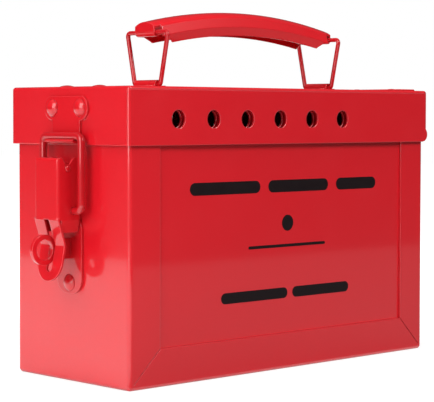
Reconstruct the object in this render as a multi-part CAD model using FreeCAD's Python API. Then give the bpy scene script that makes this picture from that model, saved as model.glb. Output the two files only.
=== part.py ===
"""Portable group lock box: a painted sheet-steel box with a hinged lid, a draw latch and a folding handle.

Millimetres. +X runs along the box towards the hinge end, +Y to the rear, +Z up. The origin is on the
surface the box stands on, below the middle of the lid. The latch is on the -X end, the hinge on the
+X end.
"""
import FreeCAD
import Part
import math
import os

V = FreeCAD.Vector

# ---- driving dimensions ------------------------------------------------------------------------
SHEET = 1.2                      # steel of the box and the lid
WALL_X, BOX_X = -112.8, 113.6    # outer faces of the end walls: latch end, hinge end
BOX_W, BOX_H = 91.2, 146.0
BOX_BEND = 2.2                   # outer radius of the folded edges
BORDER_LEFT, BORDER_RIGHT, BORDER_BOTTOM = 20.4, 19.6, 19.5
MITRE_GAP = 0.4

LID_L, LID_W = 230.0, 95.5
LID_TOP, SKIRT_BOTTOM = 151.5, 121.8
LID_BEND = 1.6

HOLE_R = 4.7                     # padlock holes
HOLE_PITCH, HOLE_COUNT = 24.6, 6
HOLE_FIRST_X, HOLE_Z = -82.0, 135.0

HINGE_X, HINGE_Z = 113.1, 126.0
LEAF_T = 1.0                     # steel of the hinge leaves
PIN_R, KNUCKLE_BORE, KNUCKLE_R = 2.3, 2.35, 3.9
HINGE_HALF, KNUCKLES, KNUCKLE_GAP = 37.5, 5, 0.3
LEAF_DROP = 26.0                 # height of the lower leaf's plate
LEAF_GAP = 2.0                   # from the knuckles down to that plate, room for the upper leaf to swing
LEAF_TOP_REACH = 15.0            # how far the upper leaf reaches over the lid's top
CORNER_X, CORNER_R = 111.2, 4.1  # rounded lower corner of the long skirts, beside the hinge

LATCH_T = 1.5                    # plate of the latch base and the keeper
PIVOT_X, PIVOT_Z = -122.8, 110.0
LEVER_T = 1.2
LEVER_FRONT_X, LEVER_BACK_X = -129.3, -115.2
LEVER_TOP, LEVER_FACE_BOTTOM, LEVER_SIDE_BOTTOM = 115.6, 83.7, 77.5
LEVER_HALF = 9.6
SLOT_HALF, SLOT_TOP, SLOT_BOTTOM = 2.1, 84.2, 57.5
TONGUE_BEND_X, TONGUE_BEND_Z = -124.9, 71.0
TONGUE_TIP_X, TONGUE_TIP_Z = -128.6, 52.8
LEVER_PIN_R = 1.5
RUNNING = 0.05                   # radial clearance of the running fits

BAIL_R = 2.0                     # wire of the latch bail
BAIL_X, BAIL_PIVOT_Z, BAIL_BAR_Z, BAIL_HALF = -118.8, 88.5, 126.3, 15.5
BAIL_END_Y = 7.5
HOOK_INNER_R, HOOK_END_DEG = 2.3, 137.0

EYE_X, EYE_Z, EYE_OUTER_R, EYE_HOLE_R, EYE_HALF_T = -130.8, 68.8, 7.8, 5.2, 1.1

HANDLE_X = 5.75                  # middle of the handle, nearer the hinge than the middle of the lid
HANDLE_HALF = 66.75              # half the distance between the two wire bails
WIRE_R, WIRE_PIVOT_Z, WIRE_TOP_Z = 1.22, 153.2, 181.0
WIRE_BOTTOM_HALF, WIRE_TOP_HALF = 10.3, 16.3
STRAP_INNER_R, STRAP_T, STRAP_HALF_Y, STRAP_HALF_X = 1.3, 1.2, 8.5, 7.0

GRIP_TOP, GRIP_ARC_R, GRIP_T = 194.1, 318.0, 1.0
GRIP_SHOULDER_Y, GRIP_SHOULDER_DROP = 8.7, 3.2
GRIP_CREASE_Y, GRIP_CREASE_DROP = 10.2, 8.2
GRIP_EDGE_Y, GRIP_DEPTH = 8.6, 13.0
GRIP_WALL_END = 64.3             # where the side walls stop short of the wire
GRIP_CURL_HALF = 7.6

BOX_Y = BOX_W / 2
LID_X, LID_Y = LID_L / 2, LID_W / 2
SKIRT_X = -LID_X                 # outer face of the lid's end skirt above the latch


# ---- small tools -------------------------------------------------------------------------------
def block(x0, x1, y0, y1, z0, z1):
    return Part.makeBox(x1 - x0, y1 - y0, z1 - z0, V(x0, y0, z0))


def rod(point, axis, length, radius):
    """A cylinder centred on point."""
    axis = V(*axis).normalize()
    return Part.makeCylinder(radius, length, V(*point) - axis * (length / 2), axis)


def prism_xz(points, y0, y1):
    """A polygon of (x, z) points, extruded from y0 to y1."""
    corners = [V(x, y0, z) for x, z in points]
    return Part.Face(Part.makePolygon(corners + corners[:1])).extrude(V(0, y1 - y0, 0))


def prism_yz(points, x0, x1):
    """A polygon of (y, z) points, extruded from x0 to x1."""
    corners = [V(x0, y, z) for y, z in points]
    return Part.Face(Part.makePolygon(corners + corners[:1])).extrude(V(x1 - x0, 0, 0))


def rounded(shape, radius, wanted):
    """Fillets the edges whose middle point satisfies wanted."""
    edges = [e for e in shape.Edges if wanted(e.CenterOfMass)]
    return shape.makeFillet(radius, edges)


def mirrored_pair(shape):
    """The shape and its mirror image across the XZ plane."""
    return [shape, shape.mirror(V(0, 0, 0), V(0, 1, 0))]


def fused(*shapes):
    whole = shapes[0]
    for shape in shapes[1:]:
        whole = whole.fuse(shape)
    return whole.removeSplitter()


def bent_path(points, radius):
    """Straight runs through the points, joined by tangent arcs of one radius."""
    edges = []
    start = points[0]
    for before, corner, after in zip(points, points[1:], points[2:]):
        back = (before - corner).normalize()
        ahead = (after - corner).normalize()
        half = back.getAngle(ahead) / 2
        run = radius / math.tan(half)
        enter, leave = corner + back * run, corner + ahead * run
        middle = corner + (back + ahead).normalize() * (radius / math.sin(half) - radius)
        edges.append(Part.LineSegment(start, enter).toShape())
        edges.append(Part.Arc(enter, middle, leave).toShape())
        start = leave
    edges.append(Part.LineSegment(start, points[-1]).toShape())
    return Part.Wire(edges)


def wire_form(points, bend_radius, wire_radius):
    path = bent_path(points, bend_radius)
    direction = (points[1] - points[0]).normalize()
    section = Part.Wire([Part.Circle(points[0], direction, wire_radius).toShape()])
    return path.makePipeShell([section], True, True)


def rivet(seat, outward, grip, head_r, head_h, shank_r, tail_r, tail_h):
    """A rivet whose domed head sits on seat. Its shank crosses grip of metal to the formed tail."""
    ball_r = (head_r ** 2 + head_h ** 2) / (2 * head_h)
    ball_z = head_h - ball_r
    half = math.asin(head_r / ball_r) / 2
    on_dome = V(ball_r * math.sin(half), 0, ball_z + ball_r * math.cos(half))
    dome = Part.Arc(V(head_r, 0, 0), on_dome, V(0, 0, head_h)).toShape()
    corners = [V(0, 0, head_h), V(0, 0, -grip - tail_h), V(tail_r * 0.8, 0, -grip - tail_h)]
    corners += [V(tail_r, 0, -grip), V(shank_r, 0, -grip), V(shank_r, 0, 0), V(head_r, 0, 0)]
    sides = [Part.LineSegment(a, b).toShape() for a, b in zip(corners, corners[1:])]
    solid = Part.Face(Part.Wire(sides + [dome])).revolve(V(0, 0, 0), V(0, 0, 1), 360)
    solid.Placement = FreeCAD.Placement(V(*seat), FreeCAD.Rotation(V(0, 0, 1), V(*outward)))
    return solid


def drilled(shape, centres, axis, radius, depth=30.0):
    for centre in centres:
        shape = shape.cut(rod(centre, axis, depth, radius))
    return shape


def hole_centres(side):
    """Centres of the padlock holes of one long side: -1 front, +1 rear."""
    return [(HOLE_FIRST_X + i * HOLE_PITCH, side * LID_Y, HOLE_Z) for i in range(HOLE_COUNT)]


# ---- rivet places ------------------------------------------------------------------------------
KEEPER_RIVETS = [(SKIRT_X - LATCH_T, y, 140.6) for y in (-11.1, 11.1)]
BACKING_RIVETS = [(-105.0, y, LID_TOP) for y in (-13.2, 13.2)]
UPPER_LEAF_RIVETS = [(107.0, y, LID_TOP + LEAF_T) for y in (-27.0, 0.0, 27.0)]
LOWER_LEAF_RIVETS = [(BOX_X + LEAF_T, y, 108.0) for y in (-27.0, 0.0, 27.0)]
BASE_RIVETS = [(WALL_X - LATCH_T, 0.0, z) for z in (51.1, 90.0, 102.0)]
SHANK_R, SMALL_SHANK_R = 2.2, 1.7


# ---- box ---------------------------------------------------------------------------------------
def body_wrap():
    """The end walls and the bottom in one U of sheet, with mitred flanges round the long sides."""
    low = 0.5
    outer = block(WALL_X, BOX_X, -BOX_Y, BOX_Y, 0, BOX_H)
    outer = rounded(outer, BOX_BEND, lambda c: c.z < BOX_H - low)
    inner = block(WALL_X + SHEET, BOX_X - SHEET, -BOX_Y + SHEET, BOX_Y - SHEET, SHEET, BOX_H + 5)
    inner = rounded(inner, BOX_BEND - SHEET, lambda c: c.z < BOX_H)
    shell = outer.cut(inner)
    shell = shell.cut(block(WALL_X + BORDER_LEFT, BOX_X - BORDER_RIGHT, -60, 60, BORDER_BOTTOM, 200))
    for corner_x, window_x in ((WALL_X, WALL_X + BORDER_LEFT), (BOX_X, BOX_X - BORDER_RIGHT)):
        way = V(window_x - corner_x, 0, BORDER_BOTTOM)
        across = V(way.z, 0, -way.x).normalize() * (MITRE_GAP / 2)
        begin = V(corner_x, 0, 0) + way * 0.16
        end = V(corner_x, 0, 0) + way * 1.02
        slit = [begin + across, end + across, end - across, begin - across]
        outline = [(p.x, p.z) for p in slit]
        shell = shell.cut(prism_xz(outline, -BOX_Y - 1, -BOX_Y + BOX_BEND))
        shell = shell.cut(prism_xz(outline, BOX_Y - BOX_BEND, BOX_Y + 1))
    shell = shell.cut(block(BOX_X - 6, BOX_X + 1, -40, 40, HINGE_Z - 5.2, 200))
    shell = shell.cut(block(WALL_X - 1, WALL_X + 4, -22, 22, 131, 200))
    shell = drilled(shell, LOWER_LEAF_RIVETS + BASE_RIVETS, (1, 0, 0), SMALL_SHANK_R)
    return shell.removeSplitter()


def long_panel(side):
    """The front (-1) or rear (+1) sheet behind the flanges, with its row of padlock holes."""
    outer_y, inner_y = BOX_Y - SHEET, BOX_Y - 2 * SHEET
    y0, y1 = sorted((side * outer_y, side * inner_y))
    panel = block(WALL_X + 2 * SHEET, BOX_X - 2 * SHEET, y0, y1, 2 * SHEET, BOX_H)
    return drilled(panel, hole_centres(side), (0, 1, 0), HOLE_R)


# ---- hinge -------------------------------------------------------------------------------------
def knuckle_spans(first):
    """The stretches of barrel that belong to one leaf: every second knuckle from first."""
    length = 2 * HINGE_HALF / KNUCKLES
    spans = []
    for i in range(first, KNUCKLES, 2):
        y0 = -HINGE_HALF + i * length
        spans.append((y0 + KNUCKLE_GAP / 2, y0 + length - KNUCKLE_GAP / 2))
    return spans


def hinge_lower_leaf():
    leaf_x0, leaf_x1 = BOX_X, BOX_X + LEAF_T
    top = HINGE_Z - KNUCKLE_R - LEAF_GAP
    leaf = block(leaf_x0, leaf_x1, -HINGE_HALF, HINGE_HALF, top - LEAF_DROP, top)
    for y0, y1 in knuckle_spans(0):
        middle = (HINGE_X, (y0 + y1) / 2, HINGE_Z)
        neck = block(leaf_x0, leaf_x1, y0, y1, top - 1, HINGE_Z - KNUCKLE_BORE)
        leaf = fused(leaf, neck, rod(middle, (0, 1, 0), y1 - y0, KNUCKLE_R))
    leaf = leaf.cut(rod((HINGE_X, 0, HINGE_Z), (0, 1, 0), 100, KNUCKLE_BORE))
    return drilled(leaf, LOWER_LEAF_RIVETS, (1, 0, 0), SMALL_SHANK_R)


def hinge_upper_leaf():
    """The leaf up the lid's end skirt, folded over the lid's top."""
    x0, x1 = LID_X, LID_X + LEAF_T
    low = HINGE_Z + KNUCKLE_R + 0.5
    leaf = block(x1 - LEAF_TOP_REACH, x1, -HINGE_HALF, HINGE_HALF, low, LID_TOP + LEAF_T)
    leaf = rounded(leaf, LEAF_T + 0.3, lambda c: c.x > x1 - 0.1 and c.z > LID_TOP)
    leaf = leaf.cut(block(0, x0, -60, 60, 0, LID_TOP))
    for y0, y1 in knuckle_spans(1):
        middle = (HINGE_X, (y0 + y1) / 2, HINGE_Z)
        neck = block(x0, x1, y0, y1, HINGE_Z, low + 1)
        leaf = fused(leaf, neck, rod(middle, (0, 1, 0), y1 - y0, KNUCKLE_R))
    leaf = leaf.cut(rod((HINGE_X, 0, HINGE_Z), (0, 1, 0), 100, KNUCKLE_BORE))
    return drilled(leaf, UPPER_LEAF_RIVETS, (0, 0, 1), SMALL_SHANK_R)


def hinge_pin():
    pin = rod((HINGE_X, 0, HINGE_Z), (0, 1, 0), 2 * HINGE_HALF + 1.6, PIN_R)
    return pin.makeChamfer(0.4, [e for e in pin.Edges if e.Closed])


# ---- lid ---------------------------------------------------------------------------------------
def lid_shell():
    """The lid's whole folded shell, with no holes."""
    outer = block(-LID_X, LID_X, -LID_Y, LID_Y, SKIRT_BOTTOM, LID_TOP)
    outer = rounded(outer, LID_BEND, lambda c: c.z > SKIRT_BOTTOM + 0.5)
    inner = block(-LID_X + SHEET, LID_X - SHEET, -LID_Y + SHEET, LID_Y - SHEET,
                  SKIRT_BOTTOM - 5, LID_TOP - SHEET)
    inner = rounded(inner, LID_BEND - SHEET, lambda c: c.z > SKIRT_BOTTOM)
    shell = outer.cut(inner)
    inner_y = LID_Y - SHEET
    shell = shell.cut(block(HINGE_X - 3, LID_X + 1, -inner_y, inner_y, SKIRT_BOTTOM - 1, HINGE_Z + 5))
    return shell.cut(block(CORNER_X, LID_X + 1, -60, 60, SKIRT_BOTTOM - 1, HINGE_Z))


def long_skirt_space(side):
    """The space of one long skirt, from the corners' welds up to the fold: -1 front, +1 rear."""
    y0, y1 = sorted((side * (LID_Y - SHEET), side * (LID_Y + 1)))
    return block(-LID_X - 1, LID_X + 1, y0, y1, SKIRT_BOTTOM - 1, LID_TOP - LID_BEND)


def lid_cover():
    """The lid's top and its two end skirts."""
    cover = lid_shell().cut(long_skirt_space(-1)).cut(long_skirt_space(1))
    cover = drilled(cover, KEEPER_RIVETS, (1, 0, 0), SHANK_R, 12.0)
    cover = drilled(cover, BACKING_RIVETS, (0, 0, 1), SHANK_R, 12.0)
    return drilled(cover, UPPER_LEAF_RIVETS, (0, 0, 1), SMALL_SHANK_R, 12.0)


def long_skirt(side):
    """A long side of the lid, with its padlock holes and a rounded corner beside the hinge."""
    middle = (CORNER_X, side * (LID_Y - SHEET / 2), HINGE_Z)
    skirt = fused(lid_shell().common(long_skirt_space(side)), rod(middle, (0, 1, 0), SHEET, CORNER_R))
    return drilled(skirt, hole_centres(side), (0, 1, 0), HOLE_R)


def keeper():
    """The strike on the lid's end skirt: a plate with two round lobes and a hooked lower edge."""
    x0, x1 = SKIRT_X - LATCH_T, SKIRT_X
    lobe_r, neck_half, top = 6.3, 11.2, 146.6
    plate = block(x0, x1, -neck_half, neck_half, BAIL_BAR_Z, top)
    for _, y, z in KEEPER_RIVETS:
        plate = fused(plate, rod(((x0 + x1) / 2, y, z), (1, 0, 0), LATCH_T, lobe_r))
    plate = plate.cut(block(x0 - 1, x1 + 1, -30, 30, top, top + 10))
    outer_r = HOOK_INNER_R + LATCH_T
    ring = rod((BAIL_X, 0, BAIL_BAR_Z), (0, 1, 0), 2 * neck_half, outer_r)
    ring = ring.cut(rod((BAIL_X, 0, BAIL_BAR_Z), (0, 1, 0), 60, HOOK_INNER_R))
    end = math.radians(HOOK_END_DEG)
    reach = 2 * outer_r
    tip = (BAIL_X + reach * math.cos(end), BAIL_BAR_Z - reach * math.sin(end))
    kept = [(BAIL_X, BAIL_BAR_Z), (BAIL_X + reach, BAIL_BAR_Z), (BAIL_X + reach, BAIL_BAR_Z - reach)]
    kept += [(BAIL_X - 1, BAIL_BAR_Z - 2 * reach), tip]
    hook = ring.common(prism_xz(kept, -neck_half, neck_half))
    return drilled(fused(plate, hook), KEEPER_RIVETS, (1, 0, 0), SHANK_R, 12.0)


def keeper_backing():
    """The angle inside the lid that stiffens the corner behind the keeper."""
    x0, z1 = SKIRT_X + SHEET, LID_TOP - SHEET
    angle = fused(block(x0, x0 + SHEET, -20, 20, 133, z1), block(x0, x0 + 15, -20, 20, z1 - SHEET, z1))
    angle = rounded(angle, LID_BEND - SHEET, lambda c: c.x < x0 + 0.1 and c.z > z1 - 0.1)
    angle = drilled(angle, KEEPER_RIVETS, (1, 0, 0), SHANK_R, 12.0)
    return drilled(angle, BACKING_RIVETS, (0, 0, 1), SHANK_R, 12.0)


# ---- latch -------------------------------------------------------------------------------------
def latch_base():
    """A riveted plate on the end wall with two ears that hold the lever's pin."""
    x0, x1 = WALL_X - LATCH_T, WALL_X
    ear_outer, ear_t, ear_r = 7.9, 1.4, 3.4
    foot_half, foot_bottom, foot_r = 10.0, 45.6, 8.0
    upper_top, waist_top, waist_bottom = 109.5, 84.0, 80.0
    outline = [(-foot_half, foot_bottom), (foot_half, foot_bottom), (foot_half, waist_bottom)]
    outline += [(ear_outer, waist_top), (ear_outer, upper_top), (-ear_outer, upper_top)]
    outline += [(-ear_outer, waist_top), (-foot_half, waist_bottom)]
    plate = prism_yz(outline, x0, x1)
    plate = rounded(plate, foot_r, lambda c: c.z < foot_bottom + 0.1 and abs(abs(c.y) - foot_half) < 0.1)
    side = [(x0 + 0.5, 95.0), (x0 + 0.5, upper_top), (PIVOT_X, upper_top)]
    side += [(PIVOT_X - ear_r * 0.7, PIVOT_Z - ear_r * 0.714)]
    ear = prism_xz(side, ear_outer - ear_t, ear_outer)
    ear = fused(ear, rod((PIVOT_X, ear_outer - ear_t / 2, PIVOT_Z), (0, 1, 0), ear_t, ear_r))
    plate = fused(plate, *mirrored_pair(ear))
    plate = plate.cut(rod((PIVOT_X, 0, PIVOT_Z), (0, 1, 0), 40, LEVER_PIN_R))
    return drilled(plate, BASE_RIVETS, (1, 0, 0), SMALL_SHANK_R, 8.0)


def padlock_eye():
    """The staple that stands out through the lever's slot and takes a padlock."""
    neck_half = 5.3
    base_x = WALL_X - LATCH_T
    eye = block(EYE_X, base_x, -EYE_HALF_T, EYE_HALF_T, EYE_Z - neck_half, EYE_Z + neck_half)
    eye = fused(eye, rod((EYE_X, 0, EYE_Z), (0, 1, 0), 2 * EYE_HALF_T, EYE_OUTER_R))
    return eye.cut(rod((EYE_X, 0, EYE_Z), (0, 1, 0), 20, EYE_HOLE_R))


def lever_plate_outline():
    """The lever's lower plate in side view: in towards the box, then out to the tip."""
    points = [V(LEVER_FRONT_X, 0, LEVER_FACE_BOTTOM + 1.0), V(TONGUE_BEND_X, 0, TONGUE_BEND_Z),
              V(TONGUE_TIP_X, 0, TONGUE_TIP_Z)]
    inside = []
    for p, before, after in zip(points, points[:1] + points, points[1:] + points[-1:]):
        way = (after - before).normalize()
        inside.append(p + V(-way.z, 0, way.x) * LEVER_T)
    return [(p.x, p.z) for p in points + inside[::-1]]


def latch_lever():
    outer = block(LEVER_FRONT_X, LEVER_BACK_X, -LEVER_HALF, LEVER_HALF, LEVER_FACE_BOTTOM, LEVER_TOP)
    outer = rounded(outer, 1.8, lambda c: c.x < LEVER_FRONT_X + 0.1 and c.z > LEVER_FACE_BOTTOM + 0.1)
    inner_half = LEVER_HALF - LEVER_T
    cover = outer.cut(block(LEVER_FRONT_X + LEVER_T, LEVER_BACK_X + 1, -inner_half, inner_half,
                            LEVER_FACE_BOTTOM - 1, LEVER_TOP + 1))
    notch = [(-127.4, LEVER_TOP + 1), (-118.0, LEVER_TOP + 1), (-121.6, 112.0), (-124.0, 112.0)]
    cover = cover.cut(prism_xz(notch, -20, 20))
    swing_r = 9.0
    corner = block(PIVOT_X, LEVER_BACK_X + 2, -20, 20, PIVOT_Z, LEVER_TOP + 1)
    cover = cover.cut(corner.cut(rod((PIVOT_X, 0, PIVOT_Z), (0, 1, 0), 60, swing_r)))

    lean = 1.5                   # how far the sides lean in below the face
    side = [(LEVER_HALF, LEVER_FACE_BOTTOM), (inner_half, LEVER_FACE_BOTTOM),
            (inner_half - lean, LEVER_SIDE_BOTTOM), (LEVER_HALF - lean, LEVER_SIDE_BOTTOM)]
    skirt = prism_yz(side, LEVER_FRONT_X + 2.6, LEVER_BACK_X)

    plate = prism_xz(lever_plate_outline(), -LEVER_HALF, LEVER_HALF)
    tip_centre = TONGUE_TIP_Z + LEVER_HALF
    shape = fused(block(-140, -115, -LEVER_HALF, LEVER_HALF, tip_centre, 90),
                  rod((-127.5, 0, tip_centre), (1, 0, 0), 25, LEVER_HALF))
    plate = plate.common(shape)

    lever = fused(cover, *mirrored_pair(skirt), plate)
    slot = fused(block(-140, -110, -SLOT_HALF, SLOT_HALF, SLOT_BOTTOM + SLOT_HALF, SLOT_TOP),
                 rod((-125, 0, SLOT_BOTTOM + SLOT_HALF), (1, 0, 0), 30, SLOT_HALF))
    lever = lever.cut(slot)
    lever = lever.cut(rod((PIVOT_X, 0, PIVOT_Z), (0, 1, 0), 40, LEVER_PIN_R + RUNNING))
    return lever.cut(rod((BAIL_X, 0, BAIL_PIVOT_Z), (0, 1, 0), 40, BAIL_R + RUNNING))


def latch_pivot_pin():
    pin = rod((PIVOT_X, 0, PIVOT_Z), (0, 1, 0), 2 * LEVER_HALF + 0.8, LEVER_PIN_R)
    return pin.makeChamfer(0.3, [e for e in pin.Edges if e.Closed])


def latch_bail():
    corners = [(-BAIL_END_Y, BAIL_PIVOT_Z), (-BAIL_HALF, BAIL_PIVOT_Z), (-BAIL_HALF, BAIL_BAR_Z)]
    corners += [(-y, z) for y, z in corners[::-1]]
    return wire_form([V(BAIL_X, y, z) for y, z in corners], 3.2, BAIL_R)


# ---- handle ------------------------------------------------------------------------------------
def handle_bracket(x):
    """A strap over the bail's lower wire, with a welded flange on each side."""
    outer_r = STRAP_INNER_R + STRAP_T
    y0, y1 = -STRAP_HALF_Y, STRAP_HALF_Y
    flange_top = LID_TOP + STRAP_T
    strap = block(x - STRAP_HALF_X, x + STRAP_HALF_X, y0, y1, LID_TOP, flange_top)
    strap = rounded(strap, 3.0, lambda c: abs(c.z - (LID_TOP + STRAP_T / 2)) < 0.1
                    and abs(abs(c.y) - STRAP_HALF_Y) < 0.1 and abs(abs(c.x - x) - STRAP_HALF_X) < 0.1)
    crown = fused(block(x - outer_r, x + outer_r, y0, y1, LID_TOP, WIRE_PIVOT_Z),
                  rod((x, 0, WIRE_PIVOT_Z), (0, 1, 0), y1 - y0, outer_r))
    strap = fused(strap, crown)
    strap = strap.cut(rod((x, 0, WIRE_PIVOT_Z), (0, 1, 0), 60, STRAP_INNER_R))
    strap = strap.cut(block(x - 10, x + 10, -60, 60, LID_TOP - 5, LID_TOP))
    return strap.cut(block(x - STRAP_INNER_R, x + STRAP_INNER_R, -60, 60, LID_TOP - 1, WIRE_PIVOT_Z))


def handle_bail(x):
    """A four-sided loop of wire whose ends butt together inside the bracket."""
    butt = 0.2
    half = [(-butt, WIRE_PIVOT_Z), (-WIRE_BOTTOM_HALF, WIRE_PIVOT_Z), (-WIRE_TOP_HALF, WIRE_TOP_Z)]
    corners = half + [(-y, z) for y, z in half[::-1]]
    return wire_form([V(x, y, z) for y, z in corners], 1.8, WIRE_R)


def grip_section(inset, floor):
    """Half-round-shouldered channel section at the handle's middle. inset moves it inwards."""
    top = GRIP_TOP - inset
    shoulder = V(HANDLE_X, GRIP_SHOULDER_Y - inset * 0.75, GRIP_TOP - GRIP_SHOULDER_DROP - inset * 0.55)
    crease = V(HANDLE_X, GRIP_CREASE_Y - inset, GRIP_TOP - GRIP_CREASE_DROP)
    slope = (GRIP_CREASE_Y - GRIP_EDGE_Y) / (GRIP_DEPTH - GRIP_CREASE_DROP)
    edge_y = crease.y - slope * (floor - GRIP_CREASE_DROP)
    edge = V(HANDLE_X, edge_y, GRIP_TOP - floor)
    right = [shoulder, crease, edge]
    left = [V(p.x, -p.y, p.z) for p in right]
    sides = [Part.LineSegment(a, b).toShape() for a, b in zip(right, right[1:])]
    sides.append(Part.LineSegment(right[-1], left[-1]).toShape())
    sides += [Part.LineSegment(a, b).toShape() for a, b in zip(left[::-1], left[-2::-1])]
    crown = Part.Arc(left[0], V(HANDLE_X, 0, top), right[0]).toShape()
    return Part.Face(Part.Wire(sides + [crown]))


def grip_arc(section, half_degrees):
    """The section swept along the grip's arch, both ways from the middle."""
    centre, axis = V(HANDLE_X, 0, GRIP_TOP - GRIP_ARC_R), V(0, 1, 0)
    start = section.copy()
    start.rotate(centre, axis, -half_degrees)
    return start.revolve(centre, axis, 2 * half_degrees)


def handle_grip():
    """A pressed channel, open below, whose two ends curl under the wires."""
    curl_outer = STRAP_INNER_R + GRIP_T
    end = HANDLE_HALF + curl_outer
    half_degrees = math.degrees(math.asin(end / GRIP_ARC_R)) + 0.2
    filled = grip_arc(grip_section(0, GRIP_DEPTH), half_degrees)
    channel = filled.cut(grip_arc(grip_section(GRIP_T, GRIP_DEPTH + 2), half_degrees + 1))

    lump_z, step_z, bottom_z = 176.6, 178.8, 170.0
    side_view = [(-end, step_z), (-61.0, step_z), (-57.0, lump_z), (-50.0, bottom_z)]
    side_view = [(-end, 200.0)] + side_view + [(-x, z) for x, z in side_view[::-1]] + [(end, 200.0)]
    channel = channel.common(prism_xz([(HANDLE_X + x, z) for x, z in side_view], -20, 20))

    for side in (-1, 1):
        x_wall, x_end = HANDLE_X + side * GRIP_WALL_END, HANDLE_X + side * (end + 1)
        x0, x1 = sorted((x_wall, x_end))
        for y0, y1 in ((-20, -GRIP_CURL_HALF), (GRIP_CURL_HALF, 20)):
            channel = channel.cut(block(x0, x1, y0, y1, 150, 200))
        wire = (HANDLE_X + side * HANDLE_HALF, 0, WIRE_TOP_Z)
        face = HANDLE_X + side * end
        w0, w1 = sorted((face, face - side * GRIP_T))
        wall = block(w0, w1, -GRIP_CURL_HALF, GRIP_CURL_HALF, WIRE_TOP_Z, GRIP_TOP).common(filled)
        curl = rod(wire, (0, 1, 0), 2 * GRIP_CURL_HALF, curl_outer)
        curl = curl.cut(block(wire[0] - 10, wire[0] + 10, -20, 20, WIRE_TOP_Z, 200))
        curl = curl.cut(rod(wire, (0, 1, 0), 60, STRAP_INNER_R))
        channel = fused(channel, wall, curl)
    return channel


# ---- the assembly ------------------------------------------------------------------------------
def keeper_rivets():
    grip = LATCH_T + 2 * SHEET
    return [rivet(p, (-1, 0, 0), grip, 4.6, 2.4, SHANK_R, 3.4, 1.0) for p in KEEPER_RIVETS]


def backing_rivets():
    return [rivet(p, (0, 0, 1), 2 * SHEET, 4.3, 0.9, SHANK_R, 3.4, 1.0) for p in BACKING_RIVETS]


def upper_leaf_rivets():
    grip = SHEET + LEAF_T
    return [rivet(p, (0, 0, 1), grip, 2.8, 0.3, SMALL_SHANK_R, 2.8, 0.8) for p in UPPER_LEAF_RIVETS]


def lower_leaf_rivets():
    grip = SHEET + LEAF_T
    return [rivet(p, (1, 0, 0), grip, 3.0, 1.2, SMALL_SHANK_R, 2.8, 0.8) for p in LOWER_LEAF_RIVETS]


def base_rivets():
    grip = LATCH_T + SHEET
    return [rivet(p, (-1, 0, 0), grip, 4.5, 2.2, SMALL_SHANK_R, 2.8, 0.8) for p in BASE_RIVETS]


def main():
    os.makedirs("parts", exist_ok=True)
    nodes = {
        "body_wrap": body_wrap(),
        "front_panel": long_panel(-1),
        "rear_panel": long_panel(1),
        "hinge_lower_leaf": hinge_lower_leaf(),
        "hinge_lower_rivets": Part.makeCompound(lower_leaf_rivets()),
        "hinge_pin": hinge_pin(),
        "latch_base": latch_base(),
        "latch_base_rivets": Part.makeCompound(base_rivets()),
        "padlock_eye": padlock_eye(),
        "latch_pivot_pin": latch_pivot_pin(),
        "latch_lever": latch_lever(),
        "latch_bail": latch_bail(),
        "lid_cover": lid_cover(),
        "lid_front_skirt": long_skirt(-1),
        "lid_rear_skirt": long_skirt(1),
        "keeper": keeper(),
        "keeper_rivets": Part.makeCompound(keeper_rivets()),
        "keeper_backing": keeper_backing(),
        "keeper_backing_rivets": Part.makeCompound(backing_rivets()),
        "hinge_upper_leaf": hinge_upper_leaf(),
        "hinge_upper_rivets": Part.makeCompound(upper_leaf_rivets()),
        "handle_bracket_left": handle_bracket(HANDLE_X - HANDLE_HALF),
        "handle_bracket_right": handle_bracket(HANDLE_X + HANDLE_HALF),
        "handle_bail_left": handle_bail(HANDLE_X - HANDLE_HALF),
        "handle_bail_right": handle_bail(HANDLE_X + HANDLE_HALF),
        "handle_grip": handle_grip(),
    }
    for name, shape in nodes.items():
        shape.exportStep(f"parts/{name}.step")
        box = shape.BoundBox
        print(f"{name:24s} solids {len(shape.Solids)} valid {shape.isValid()} vol {shape.Volume:9.1f}",
              f"x {box.XMin:.1f}..{box.XMax:.1f} y {box.YMin:.1f}..{box.YMax:.1f}",
              f"z {box.ZMin:.1f}..{box.ZMax:.1f}")


main()
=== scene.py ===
"""The looks of the group lock box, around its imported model. Metres, in the model's own frame:
+X towards the hinge end, +Y to the rear, +Z up, origin in the middle of the underside."""
import math

import bmesh
import bpy
from mathutils import Matrix, Vector


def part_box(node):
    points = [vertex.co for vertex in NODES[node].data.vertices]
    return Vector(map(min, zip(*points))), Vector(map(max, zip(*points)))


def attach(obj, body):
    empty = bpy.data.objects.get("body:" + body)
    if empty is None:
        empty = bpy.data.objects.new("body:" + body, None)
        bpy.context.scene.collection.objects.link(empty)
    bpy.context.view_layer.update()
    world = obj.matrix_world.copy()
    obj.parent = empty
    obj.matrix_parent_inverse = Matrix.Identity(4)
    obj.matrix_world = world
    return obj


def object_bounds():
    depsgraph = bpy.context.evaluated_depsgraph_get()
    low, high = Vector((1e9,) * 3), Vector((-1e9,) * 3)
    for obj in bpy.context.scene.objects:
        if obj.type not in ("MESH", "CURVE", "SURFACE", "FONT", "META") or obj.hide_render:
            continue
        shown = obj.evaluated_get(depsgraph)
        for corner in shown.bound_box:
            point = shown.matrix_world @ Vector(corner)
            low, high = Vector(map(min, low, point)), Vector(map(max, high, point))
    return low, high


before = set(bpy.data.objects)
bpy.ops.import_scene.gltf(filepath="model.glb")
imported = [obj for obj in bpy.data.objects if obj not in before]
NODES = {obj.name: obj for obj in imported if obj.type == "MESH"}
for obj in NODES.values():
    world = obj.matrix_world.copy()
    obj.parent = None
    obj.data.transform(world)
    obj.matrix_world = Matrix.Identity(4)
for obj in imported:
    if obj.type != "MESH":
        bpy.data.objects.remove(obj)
CAD_LOW, CAD_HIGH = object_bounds()

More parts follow.
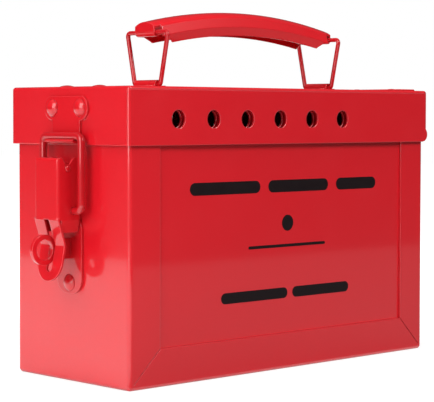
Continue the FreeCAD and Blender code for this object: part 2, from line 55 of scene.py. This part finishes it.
SHEET_NODES = ("body_wrap", "front_panel", "rear_panel", "lid_cover",
               "lid_front_skirt", "lid_rear_skirt", "keeper_backing")
WIRE_NODES = ("handle_bail_left", "handle_bail_right", "latch_bail")

# ---- camera ------------------------------------------------------------------------------------
CAMERA_PLACE = (-0.6365, -0.6566, 0.1368)
CAMERA_YAW, CAMERA_PITCH, CAMERA_ROLL = 43.67, -1.894, 0.112
CAMERA_LENS, CAMERA_SHIFT_Y = 135.55, -0.0722
CLIP_START, CLIP_END = 0.01, 50.0


def make_camera():
    yaw, pitch, roll = (math.radians(a) for a in (CAMERA_YAW, CAMERA_PITCH, CAMERA_ROLL))
    ahead = Vector((math.sin(yaw) * math.cos(pitch), math.cos(yaw) * math.cos(pitch), math.sin(pitch)))
    level = Vector((math.cos(yaw), -math.sin(yaw), 0.0))
    above = level.cross(ahead)
    right = level * math.cos(roll) + above * math.sin(roll)
    up = above * math.cos(roll) - level * math.sin(roll)
    turn = Matrix((right, up, -ahead)).transposed()
    data = bpy.data.cameras.new("camera")
    data.lens, data.shift_y = CAMERA_LENS, CAMERA_SHIFT_Y
    data.clip_start, data.clip_end = CLIP_START, CLIP_END
    camera = bpy.data.objects.new("camera", data)
    camera.matrix_world = Matrix.Translation(CAMERA_PLACE) @ turn.to_4x4()
    bpy.context.scene.collection.objects.link(camera)
    bpy.context.scene.camera = camera


# ---- studio ------------------------------------------------------------------------------------
WORLD_DIM, WORLD_BRIGHT = 0.06, 1.0
LIGHT_AIM = (0.0, 0.0, 0.08)
LIGHTS = (                          # name, place, width, height, watts, seen in the gloss
    ("key_left", (-1.5, -0.35, 0.75), 1.0, 1.5, 21, True),
    ("top_back", (-0.3, 0.35, 1.5), 1.6, 1.6, 27, False),
    ("top_sheen", (-0.3, 0.35, 1.5), 1.6, 1.6, 7, True),
    ("front_fill", (0.5, -1.6, 1.3), 1.2, 0.8, 34, True),
)

# The table top is two sheets, since the box's front shows a darker floor in its gloss than its end does:
# the front sheet's dark tone is painted shade, for less light falling on the floor there.
# Their front and left edges lie where the gloss stops showing a floor. The far ones blend into white.
FLOOR_LEFT, FLOOR_SPLIT, FLOOR_BACK_LEFT, FLOOR_RIGHT = -1.05, -0.13, 0.9, 3.0
FLOOR_FRONT, FLOOR_BACK = -0.545, 4.0
LEFT_ALBEDO, FRONT_SHADED_ALBEDO, SEEN_ALBEDO = 0.93, 0.24, 0.4
FLOOR_ROUGHNESS = 0.8
GLOW_NEAR, GLOW_FAR = (0.22, 0.66), (0.60, 0.97)    # distance from the origin, strength


def add_light(name, place, aim, width, height, watts, in_gloss):
    data = bpy.data.lights.new(name, "AREA")
    data.shape, data.size, data.size_y, data.energy = "RECTANGLE", width, height, watts
    light = bpy.data.objects.new(name, data)
    light.location = place
    light.rotation_euler = (Vector(aim) - Vector(place)).to_track_quat("-Z", "Y").to_euler()
    light.visible_camera = False
    light.visible_glossy = in_gloss
    bpy.context.scene.collection.objects.link(light)


def make_world(dim, bright):
    """White behind the object, and a dimmer room that lights it and shows in its gloss."""
    world = bpy.data.worlds.new("studio")
    world.use_nodes = True
    bpy.context.scene.world = world
    nodes, links = world.node_tree.nodes, world.node_tree.links
    room = nodes["Background"]
    room.inputs["Color"].default_value = (1, 1, 1, 1)
    room.inputs["Strength"].default_value = dim
    backdrop = nodes.new("ShaderNodeBackground")
    backdrop.inputs["Color"].default_value = (1, 1, 1, 1)
    backdrop.inputs["Strength"].default_value = bright
    path, mix = nodes.new("ShaderNodeLightPath"), nodes.new("ShaderNodeMixShader")
    links.new(path.outputs["Is Camera Ray"], mix.inputs["Fac"])
    links.new(room.outputs[0], mix.inputs[1])
    links.new(backdrop.outputs[0], mix.inputs[2])
    links.new(mix.outputs[0], nodes["World Output"].inputs["Surface"])


def make_floor(name, corners, albedo):
    """A sheet of table top: white to the camera, and of its own tone to the box's gloss and shadows."""
    mesh = bpy.data.meshes.new(name)
    mesh.from_pydata([(x, y, 0.0) for x, y in corners], [], [tuple(range(len(corners)))])
    floor = bpy.data.objects.new(name, mesh)
    bpy.context.scene.collection.objects.link(floor)
    paint = bpy.data.materials.new(name)
    paint.use_nodes = True
    nodes, links = paint.node_tree.nodes, paint.node_tree.links
    shader = nodes["Principled BSDF"]
    shader.inputs["Base Color"].default_value = (albedo, albedo, albedo, 1)
    shader.inputs["Roughness"].default_value = FLOOR_ROUGHNESS
    white = nodes.new("ShaderNodeBsdfDiffuse")
    white.inputs["Color"].default_value = (SEEN_ALBEDO, SEEN_ALBEDO, SEEN_ALBEDO, 1)
    glow = nodes.new("ShaderNodeEmission")
    away = nodes.new("ShaderNodeVectorMath")
    away.operation = "LENGTH"
    links.new(nodes.new("ShaderNodeTexCoord").outputs["Object"], away.inputs[0])
    (near, near_glow), (far, far_glow) = GLOW_NEAR, GLOW_FAR
    strength = remap(paint.node_tree, away.outputs["Value"], near, far, near_glow, far_glow)
    links.new(strength, glow.inputs["Strength"])
    both, path = nodes.new("ShaderNodeAddShader"), nodes.new("ShaderNodeLightPath")
    mix = nodes.new("ShaderNodeMixShader")
    links.new(white.outputs[0], both.inputs[0])
    links.new(glow.outputs[0], both.inputs[1])
    links.new(path.outputs["Is Camera Ray"], mix.inputs["Fac"])
    links.new(shader.outputs[0], mix.inputs[1])
    links.new(both.outputs[0], mix.inputs[2])
    links.new(mix.outputs[0], nodes["Material Output"].inputs["Surface"])
    mesh.materials.append(paint)


def make_studio():
    make_world(WORLD_DIM, WORLD_BRIGHT)
    box_front = CAD_LOW.y
    make_floor("floor_left", [(FLOOR_LEFT, FLOOR_FRONT), (FLOOR_SPLIT, FLOOR_FRONT),
                              (FLOOR_SPLIT, box_front), (FLOOR_RIGHT, box_front),
                              (FLOOR_RIGHT, FLOOR_BACK), (FLOOR_BACK_LEFT, FLOOR_BACK)], LEFT_ALBEDO)
    # The front sheet's dark tone is painted shade on the floor in front of the box.
    make_floor("floor_front_shaded", [(FLOOR_SPLIT, FLOOR_FRONT), (FLOOR_RIGHT, FLOOR_FRONT),
                               (FLOOR_RIGHT, box_front), (FLOOR_SPLIT, box_front)], FRONT_SHADED_ALBEDO)
    for name, place, width, height, watts, in_gloss in LIGHTS:
        add_light(name, place, LIGHT_AIM, width, height, watts, in_gloss)
    bpy.context.scene.view_settings.view_transform = "Standard"


# ---- materials ---------------------------------------------------------------------------------
COATS = {                           # shade, edge radius, peel, gloss under the coat, coat roughness
    "red_coat_sheet": ((0.62, 0.0055, 0.013), 0.0006, 0.03, 0.38, 0.065),
    "red_coat_hardware": ((0.60, 0.0055, 0.012), 0.0006, 0.03, 0.2, 0.05),
    # The wire coat is the same red in a darker shade: painted shade for wires that lie in less light.
    "red_coat_wire_painted_shade": ((0.47, 0.0045, 0.010), 0.0004, 0.03, 0.2, 0.05),
}
# Noise scales are in waves a metre.
DRIFT_SCALE, DRIFT_DARK, DRIFT_LIGHT = 9.0, 0.95, 1.04
GRAIN_SCALE, GRAIN_DARK, GRAIN_SHARE = 900.0, 0.9, 0.2
PEEL_SCALE, PEEL_DEPTH = 420.0, 0.00006
SHEEN_SCALE, ROUGHNESS_LOW, ROUGHNESS_HIGH = 60.0, 0.30, 0.42
# The edge tone is a painted highlight: the colour turns pale pink where the edges round off.
EDGE_HIGHLIGHT_TONE, EDGE_HIGHLIGHT_SHARE = (0.80, 0.12, 0.14), 0.45
EDGE_BLUNT, EDGE_SHARP = 0.97, 0.75     # cosine between the rounded edge and the face beside it
BEVEL_SAMPLES = 8
PAINT_IOR = 1.5

INK_DARK, INK_LIGHT, INK_GLOSS = (0.006, 0.004, 0.005), (0.014, 0.007, 0.008), 0.15
INK_GRAIN_SCALE, INK_GRAIN_BUMP, INK_GRAIN_DEPTH = 2500.0, 0.2, 0.00002
INK_SHEEN_SCALE = 300.0

COLOR_A, COLOR_B, COLOR_RESULT = 6, 7, 2    # the Mix node's sockets for colours


def noise(tree, coords, scale, detail=2.0):
    node = tree.nodes.new("ShaderNodeTexNoise")
    node.inputs["Scale"].default_value = scale
    node.inputs["Detail"].default_value = detail
    tree.links.new(coords, node.inputs["Vector"])
    return node.outputs["Fac"]


def remap(tree, value, low, high, to_low, to_high):
    node = tree.nodes.new("ShaderNodeMapRange")
    for name, number in zip(("From Min", "From Max", "To Min", "To Max"), (low, high, to_low, to_high)):
        node.inputs[name].default_value = number
    tree.links.new(value, node.inputs["Value"])
    return node.outputs["Result"]


def mix_colors(tree, factor, first, second):
    node = tree.nodes.new("ShaderNodeMix")
    node.data_type = "RGBA"
    tree.links.new(factor, node.inputs["Factor"])
    for socket, value in ((node.inputs[COLOR_A], first), (node.inputs[COLOR_B], second)):
        if isinstance(value, tuple):
            socket.default_value = (*value, 1)
        else:
            tree.links.new(value, socket)
    return node.outputs[COLOR_RESULT]


def bump(tree, height, strength, distance, below=None):
    node = tree.nodes.new("ShaderNodeBump")
    node.inputs["Strength"].default_value = strength
    node.inputs["Distance"].default_value = distance
    tree.links.new(height, node.inputs["Height"])
    if below is not None:
        tree.links.new(below, node.inputs["Normal"])
    return node.outputs["Normal"]


def red_coat(name, shade, edge_radius, peel, under_gloss, coat_roughness):
    """Glossy red powder coat: a slow drift of tone, orange peel, a grain of pigment and soft edges, with
    a painted pale pink highlight along the edges.
    """

    def toned(share):
        return tuple(c * share for c in shade)

    material = bpy.data.materials.new(name)
    material.use_nodes = True
    tree = material.node_tree
    shader = tree.nodes["Principled BSDF"]
    place = tree.nodes.new("ShaderNodeTexCoord").outputs["Object"]
    body = mix_colors(tree, noise(tree, place, DRIFT_SCALE), toned(DRIFT_DARK), toned(DRIFT_LIGHT))
    grain = remap(tree, noise(tree, place, GRAIN_SCALE, 1.0), 0.35, 0.65, 0.0, GRAIN_SHARE)
    speckled = mix_colors(tree, grain, body, toned(GRAIN_DARK))

    soft = tree.nodes.new("ShaderNodeBevel")
    soft.samples = BEVEL_SAMPLES
    soft.inputs["Radius"].default_value = edge_radius
    geometry = tree.nodes.new("ShaderNodeNewGeometry")
    turn = tree.nodes.new("ShaderNodeVectorMath")
    turn.operation = "DOT_PRODUCT"
    tree.links.new(soft.outputs["Normal"], turn.inputs[0])
    tree.links.new(geometry.outputs["Normal"], turn.inputs[1])
    # Painted highlight: pale pink is mixed into the colour where the rounded edge turns away from the
    # face.
    painted_edge_highlight = remap(tree, turn.outputs["Value"], EDGE_BLUNT, EDGE_SHARP, 0.0, EDGE_HIGHLIGHT_SHARE)
    tree.links.new(mix_colors(tree, painted_edge_highlight, speckled, EDGE_HIGHLIGHT_TONE), shader.inputs["Base Color"])

    sheen = remap(tree, noise(tree, place, SHEEN_SCALE, 1.5), 0.0, 1.0, ROUGHNESS_LOW, ROUGHNESS_HIGH)
    tree.links.new(sheen, shader.inputs["Roughness"])
    waves = noise(tree, place, PEEL_SCALE, 1.0)
    orange_peel = bump(tree, waves, peel, PEEL_DEPTH, soft.outputs["Normal"])
    tree.links.new(orange_peel, shader.inputs["Normal"])
    tree.links.new(orange_peel, shader.inputs["Coat Normal"])
    shader.inputs["IOR"].default_value = PAINT_IOR
    shader.inputs["Specular IOR Level"].default_value = under_gloss
    shader.inputs["Coat Weight"].default_value = 1.0
    shader.inputs["Coat Roughness"].default_value = coat_roughness
    shader.inputs["Coat IOR"].default_value = PAINT_IOR
    return material


def black_ink():
    """Screen print: nearly black, duller than the coat, with a grain from the mesh."""
    material = bpy.data.materials.new("black_ink")
    material.use_nodes = True
    tree = material.node_tree
    shader = tree.nodes["Principled BSDF"]
    place = tree.nodes.new("ShaderNodeTexCoord").outputs["Object"]
    grain = noise(tree, place, INK_GRAIN_SCALE)
    tree.links.new(mix_colors(tree, grain, INK_DARK, INK_LIGHT), shader.inputs["Base Color"])
    shader.inputs["Specular IOR Level"].default_value = INK_GLOSS
    sheen = remap(tree, noise(tree, place, INK_SHEEN_SCALE), 0.3, 0.7, ROUGHNESS_LOW, ROUGHNESS_HIGH)
    tree.links.new(sheen, shader.inputs["Roughness"])
    tree.links.new(bump(tree, grain, INK_GRAIN_BUMP, INK_GRAIN_DEPTH), shader.inputs["Normal"])
    return material


def paint_nodes():
    sheet, hardware, wire = (red_coat(name, *look) for name, look in COATS.items())
    for name, node in NODES.items():
        node.data.materials.clear()
        if name in SHEET_NODES:
            node.data.materials.append(sheet)
        # The wires take the darker copy of the coat, which is painted shade.
        elif name in WIRE_NODES:
            node.data.materials.append(wire)
        else:
            node.data.materials.append(hardware)


# ---- print on the front ------------------------------------------------------------------------
INK = 0.00006                       # how far the print stands on the panel
HEADING_HEIGHT, FOOTER_HEIGHT = 0.0066, 0.0058
HEADING_Z, HEADING = 0.0990, ((-0.0712, -0.0202), (-0.0141, 0.0330), (0.0395, 0.0729))
FOOTER_Z, FOOTER = 0.0412, ((-0.0490, 0.0008), (0.0046, 0.0501))
MARK_X, MARK_Z, MARK_R = 0.0008, 0.0790, 0.0044
RULE_Z, RULE_HEIGHT, RULE = 0.0668, 0.0016, (-0.0290, 0.0306)


def capsule(bm, x0, x1, z, height, y, steps=10):
    """A bar with round ends, standing INK proud of the plane at y."""
    r = height / 2
    outline = []
    for cx, start in ((x1 - r, -90), (x0 + r, 90)):
        for i in range(steps + 1):
            a = math.radians(start + 180 * i / steps)
            outline.append((cx + r * math.cos(a), z + r * math.sin(a)))
    front = [bm.verts.new((x, y - INK, v)) for x, v in outline]
    back = [bm.verts.new((x, y, v)) for x, v in outline]
    bm.faces.new(front)
    bm.faces.new(back[::-1])
    for i, vert in enumerate(front):
        j = (i + 1) % len(front)
        bm.faces.new((front[j], vert, back[i], back[j]))


def make_print():
    panel_low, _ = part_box("front_panel")
    y = panel_low.y
    ink = black_ink()
    pieces = {
        "print_heading": [(x0, x1, HEADING_Z, HEADING_HEIGHT) for x0, x1 in HEADING],
        "print_footer": [(x0, x1, FOOTER_Z, FOOTER_HEIGHT) for x0, x1 in FOOTER],
        "print_middle": [(MARK_X - MARK_R, MARK_X + MARK_R, MARK_Z, 2 * MARK_R),
                         (*RULE, RULE_Z, RULE_HEIGHT)],
    }
    for name, bars in pieces.items():
        bm = bmesh.new()
        for x0, x1, z, height in bars:
            capsule(bm, x0, x1, z, height, y)
        mesh = bpy.data.meshes.new(name)
        bm.to_mesh(mesh)
        bm.free()
        mesh.materials.append(ink)
        piece = bpy.data.objects.new(name, mesh)
        bpy.context.scene.collection.objects.link(piece)
        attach(piece, "box")


# ---- everything --------------------------------------------------------------------------------
make_camera()
make_studio()
paint_nodes()
make_print()
